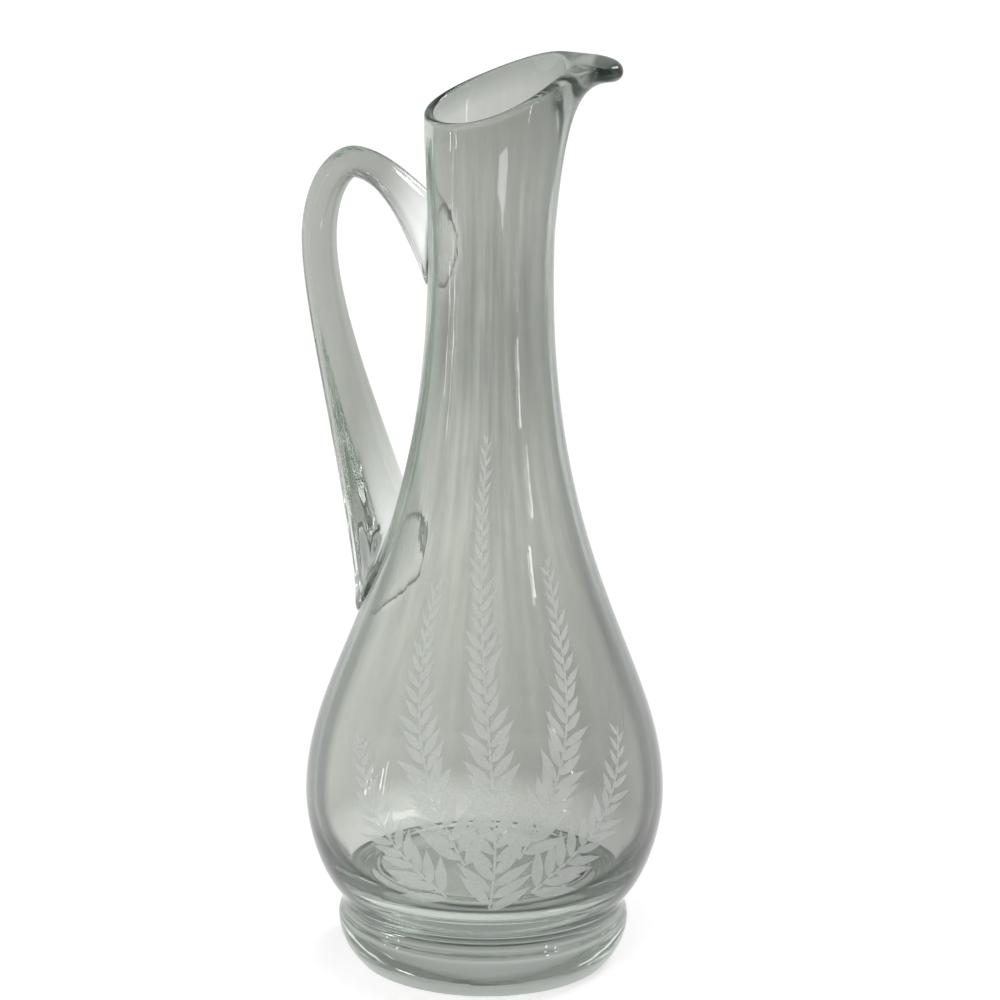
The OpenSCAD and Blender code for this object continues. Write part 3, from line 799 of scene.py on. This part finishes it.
def spray_tree():
    tree, given = new_tree("engraved_spray", [
        ("Stems", "Geometry"), ("Vessel", "Object"), ("Spacing", "Float"), ("Leaf Length", "Float"),
        ("Leaf Width", "Float"), ("Tip Share", "Float"), ("Leaf Angle", "Float"), ("Wobble", "Float"),
        ("Stem Width", "Float"), ("Turn", "Float"), ("Wrap Radius", "Float"), ("Lift", "Float"), ("Depth", "Float"),
        ("Weld", "Float"), ("Seed", "Int"), ("Material", "Material")])
    line = add(tree, "GeometryNodeResampleCurve", {"Curve": given["Stems"], "Length": given["Spacing"]},
               mode="LENGTH").outputs[0]
    # A leaf stroke is a pointed oval, one unit long and one wide
    place = add(tree, "ShaderNodeSeparateXYZ", {0: add(tree, "GeometryNodeInputPosition").outputs[0]}).outputs
    along = add(tree, "ShaderNodeMath", {0: place[0], 1: 0.5}, operation="ADD").outputs[0]
    bow = add(tree, "ShaderNodeMath", {0: along, 1: LEAF_BELLY}, operation="POWER").outputs[0]
    bow = add(tree, "ShaderNodeMath", {0: bow, 1: math.pi}, operation="MULTIPLY").outputs[0]
    bow = add(tree, "ShaderNodeMath", {0: bow}, operation="SINE").outputs[0]
    across = add(tree, "ShaderNodeMath", {0: place[1], 1: bow}, operation="MULTIPLY").outputs[0]
    clear = add(tree, "ShaderNodeMath", {0: along, 1: STEM_GAP}, operation="ADD").outputs[0]
    spot = add(tree, "ShaderNodeCombineXYZ", {0: clear, 1: across}).outputs[0]
    grid = add(tree, "GeometryNodeMeshGrid", {
        "Size X": 1.0, "Size Y": 1.0, "Vertices X": STROKE_POINTS[0], "Vertices Y": STROKE_POINTS[1]}).outputs[0]
    stroke = add(tree, "GeometryNodeSetPosition", {"Geometry": grid, "Position": spot}).outputs[0]
    # Leaves stand on both sides in turn and grow smaller towards the stem's tip
    way = add(tree, "ShaderNodeSeparateXYZ", {0: add(tree, "GeometryNodeInputTangent").outputs[0]}).outputs
    heading = add(tree, "ShaderNodeMath", {0: way[1], 1: way[0]}, operation="ARCTAN2").outputs[0]
    index = add(tree, "GeometryNodeInputIndex").outputs[0]
    side = add(tree, "ShaderNodeMath", {0: index, 1: 2.0}, operation="FLOORED_MODULO").outputs[0]
    side = add(tree, "ShaderNodeMath", {0: side, 1: 2.0, 2: -1.0}, operation="MULTIPLY_ADD").outputs[0]
    less = add(tree, "ShaderNodeMath", {0: 0.0, 1: given["Wobble"]}, operation="SUBTRACT").outputs[0]
    wobble = add(tree, "FunctionNodeRandomValue", {2: less, 3: given["Wobble"], "Seed": given["Seed"]}).outputs[1]
    spread = add(tree, "ShaderNodeMath", {0: given["Leaf Angle"], 1: wobble}, operation="ADD").outputs[0]
    lean = add(tree, "ShaderNodeMath", {0: side, 1: spread, 2: heading}, operation="MULTIPLY_ADD").outputs[0]
    grown = add(tree, "GeometryNodeSplineParameter").outputs["Factor"]
    size = add(tree, "ShaderNodeMapRange", {"Value": grown, "To Min": 1.0, "To Max": given["Tip Share"]}).outputs[0]
    uneven = add(tree, "ShaderNodeMath", {0: wobble, 1: size, 2: size}, operation="MULTIPLY_ADD").outputs[0]
    long = add(tree, "ShaderNodeMath", {0: given["Leaf Length"], 1: uneven}, operation="MULTIPLY").outputs[0]
    wide = add(tree, "ShaderNodeMath", {0: given["Leaf Width"], 1: size}, operation="MULTIPLY").outputs[0]
    leaves = add(tree, "GeometryNodeInstanceOnPoints", {
        "Points": line, "Instance": stroke,
        "Rotation": add(tree, "ShaderNodeCombineXYZ", {2: lean}).outputs[0],
        "Scale": add(tree, "ShaderNodeCombineXYZ", {0: long, 1: wide, 2: 1.0}).outputs[0]}).outputs[0]
    step = add(tree, "ShaderNodeMath", {0: given["Spacing"], 1: STEM_OVERLAP}, operation="MULTIPLY").outputs[0]
    stem = add(tree, "GeometryNodeInstanceOnPoints", {
        "Points": line, "Instance": stroke,
        "Rotation": add(tree, "ShaderNodeCombineXYZ", {2: heading}).outputs[0],
        "Scale": add(tree, "ShaderNodeCombineXYZ", {0: step, 1: given["Stem Width"], 2: 1.0}).outputs[0]}).outputs[0]
    drawn = add(tree, "GeometryNodeJoinGeometry", {0: leaves})
    tree.links.new(stem, drawn.inputs[0])
    drawn = add(tree, "GeometryNodeRealizeInstances", {0: drawn.outputs[0]}).outputs[0]
    drawn = add(tree, "GeometryNodeMergeByDistance", {"Geometry": drawn, "Distance": given["Weld"]}).outputs[0]
    # The flat drawing is wrapped: each point is sent in to the vessel's skin from far outside
    around = add(tree, "ShaderNodeMath", {0: place[0], 1: given["Wrap Radius"]}, operation="DIVIDE").outputs[0]
    angle = add(tree, "ShaderNodeMath", {0: around, 1: given["Turn"]}, operation="ADD").outputs[0]
    out = add(tree, "ShaderNodeCombineXYZ", {
        0: add(tree, "ShaderNodeMath", {0: angle}, operation="COSINE").outputs[0],
        1: add(tree, "ShaderNodeMath", {0: angle}, operation="SINE").outputs[0]}).outputs[0]
    high = add(tree, "ShaderNodeCombineXYZ", {2: place[1]}).outputs[0]
    start = add(tree, "ShaderNodeVectorMath", {0: out, 1: (FAR_OUT, FAR_OUT, FAR_OUT), 2: high},
                operation="MULTIPLY_ADD").outputs[0]
    inward = add(tree, "ShaderNodeVectorMath", {0: out, "Scale": -1.0}, operation="SCALE").outputs[0]
    skin = add(tree, "GeometryNodeObjectInfo", {"Object": given["Vessel"]}).outputs["Geometry"]
    hit = add(tree, "GeometryNodeRaycast", {"Target Geometry": skin, "Source Position": start,
                                            "Ray Direction": inward, "Ray Length": FAR_OUT}).outputs["Hit Position"]
    lifted = add(tree, "ShaderNodeVectorMath", {0: out, "Scale": given["Lift"]}, operation="SCALE").outputs[0]
    spot = add(tree, "ShaderNodeVectorMath", {0: hit, 1: lifted}, operation="ADD").outputs[0]
    frost_under = add(tree, "GeometryNodeSetPosition", {"Geometry": drawn, "Position": spot}).outputs[0]
    frost_over = add(tree, "GeometryNodeExtrudeMesh", {"Mesh": frost_under, "Offset Scale": given["Depth"],
                                                       "Individual": False}).outputs[0]
    closed = add(tree, "GeometryNodeJoinGeometry", {0: frost_over})
    tree.links.new(add(tree, "GeometryNodeFlipFaces", {0: frost_under}).outputs[0], closed.inputs[0])
    closed = add(tree, "GeometryNodeMergeByDistance", {
        "Geometry": closed.outputs[0], "Distance": given["Weld"]}).outputs[0]
    finish_tree(tree, closed, given["Material"])
    return tree


stems = bpy.data.curves.new("spray_stems", "CURVE")
stems.dimensions = "2D"
for ends in SPRAY:
    spline = stems.splines.new("POLY")
    points = bezier(ends, STEM_STEPS) * MM
    spline.points.add(len(points) - 1)
    for point, (u, v) in zip(spline.points, points):
        point.co = (u, v, 0, 1)
engraving = grown_piece("engraved_spray", stems, spray_tree(), {
    "Vessel": vessel, "Spacing": 2.2 * MM, "Leaf Length": 13 * MM, "Leaf Width": 3.6 * MM, "Tip Share": 0.38,
    "Leaf Angle": math.radians(42), "Wobble": 0.14, "Stem Width": 0.9 * MM, "Turn": math.radians(-80),
    "Wrap Radius": 50 * MM, "Lift": 0.015 * MM, "Depth": 0.03 * MM, "Weld": 0.004 * MM, "Seed": 3,
    "Material": frost})


for piece, node, slot in ((vessel, "vessel", "vessel_glass"), (foot, "foot", "foot_glass"),
                          (handle, "handle", "handle_glass"), (engraving, None, "vessel_glass")):
    fuse_to_part(piece, node)


# The stage: a flat white paper floor and soft light
def white_paper():
    """White paper that the camera and the glass see as white, with the shadow of what stands on it."""
    material, tree = new_material("white_paper")
    path = add(tree, "ShaderNodeLightPath").outputs
    seen = add(tree, "ShaderNodeMath", {0: path["Is Camera Ray"], 1: path["Is Glossy Ray"]}, operation="MAXIMUM")
    seen = add(tree, "ShaderNodeMath", {0: seen.outputs[0], 1: path["Is Transmission Ray"]}, operation="MAXIMUM")
    lit = add(tree, "ShaderNodeBsdfDiffuse", {"Color": linear("#cdcdcd")}).outputs[0]
    glow = add(tree, "ShaderNodeEmission", {"Strength": 0.6}).outputs[0]
    both = add(tree, "ShaderNodeAddShader", {0: lit, 1: glow}).outputs[0]
    shown = add(tree, "ShaderNodeMixShader", {0: seen.outputs[0], 1: lit, 2: both}).outputs[0]
    add(tree, "ShaderNodeOutputMaterial", {"Surface": shown})
    return material


def paper_floor():
    mesh = bpy.data.meshes.new("paper_floor")
    half, under = 6.0, -0.3 * MM
    corners = ((-1, -1), (1, -1), (1, 1), (-1, 1))
    mesh.from_pydata([(x * half, y * half, under) for x, y in corners], [], [(0, 1, 2, 3)])
    mesh.materials.append(white_paper())
    floor = bpy.data.objects.new("paper_floor", mesh)
    scene.collection.objects.link(floor)


paper_floor()


# The room's light by the height of the view above the horizon: pale walls, darker towards the ceiling
ROOM_LIGHT = [(0.0, 0.85), (0.2, 0.55), (0.6, 0.3)]


def studio_world():
    world = bpy.data.worlds.new("studio")
    scene.world = world
    world.use_nodes = True
    tree = world.node_tree
    tree.nodes.clear()
    way = add(tree, "ShaderNodeTexCoord").outputs["Generated"]
    rise = add(tree, "ShaderNodeSeparateXYZ", {0: way}).outputs[2]
    walls = add(tree, "ShaderNodeValToRGB", {0: rise},
                stops=[(share, (light, light, light, 1)) for share, light in ROOM_LIGHT]).outputs[0]
    sky = add(tree, "ShaderNodeBackground", {"Color": walls, "Strength": 1.0}).outputs[0]
    add(tree, "ShaderNodeOutputWorld", {"Surface": sky})


studio_world()


def soft_lamp(name, place, aim, size, power, mirrored=True):
    """An area lamp, in metres and watts, that the camera doesn't see and that the glass mirrors or not."""
    data = bpy.data.lights.new(name, "AREA")
    data.shape = "RECTANGLE"
    data.size, data.size_y = size
    data.energy = power
    lamp = bpy.data.objects.new(name, data)
    lamp.location = place
    lamp.rotation_euler = (Vector(aim) - Vector(place)).to_track_quat("-Z", "Y").to_euler()
    lamp.visible_camera = False
    lamp.visible_glossy = lamp.visible_transmission = mirrored
    scene.collection.objects.link(lamp)


# Half way up the carafe
LAMP_AIM = (0, 0, 0.15)
# Thin strips of light that stand low on both sides, mirrored as broken lines down the neck: how far off they
# stand, their watts for each square metre, and for each its turn about the axis, lower end, upper end and width
STRIP_REACH = 0.6
STRIP_POWER = 32
STRIPS = (("right_strip_low", -32, 0.002, 0.03, 0.012), ("right_strip_middle", -32, 0.046, 0.107, 0.02),
          ("right_strip_high", -24, 0.115, 0.17, 0.012), ("right_strip_top", -32, 0.2, 0.24, 0.02),
          ("left_strip_long", -150, 0.004, 0.115, 0.01), ("left_strip_short", -161, 0.004, 0.07, 0.012))
# A small bright card on the floor, mirrored as a streak
CARD = (0.165, -0.37)

soft_lamp("key_softbox", (0.8, 0.7, 1.4), LAMP_AIM, (0.6, 0.6), 12)
for name, turn, low, high, width in STRIPS:
    way = round_way(turn) * STRIP_REACH
    middle = (low + high) / 2
    soft_lamp(name, (*way, middle), (0, 0, middle), (width, high - low), STRIP_POWER * width * (high - low))
soft_lamp("front_fill", (-0.6, -2.2, 1.4), LAMP_AIM, (1.2, 1.2), 22, mirrored=False)
soft_lamp("floor_card", (*CARD, 0.003), (*CARD, 1), (0.1, 0.1), 0.14)

# The thin walls and the rod let the light through to the paper, so only the foot and the frost shade it
for piece in (vessel, handle):
    piece.visible_shadow = False

# Light crosses many walls here and turns many times inside the solid glass
BOUNCES = 64
scene.cycles.max_bounces = BOUNCES
scene.cycles.transmission_bounces = BOUNCES
scene.cycles.glossy_bounces = BOUNCES
scene.view_settings.view_transform = "Standard"
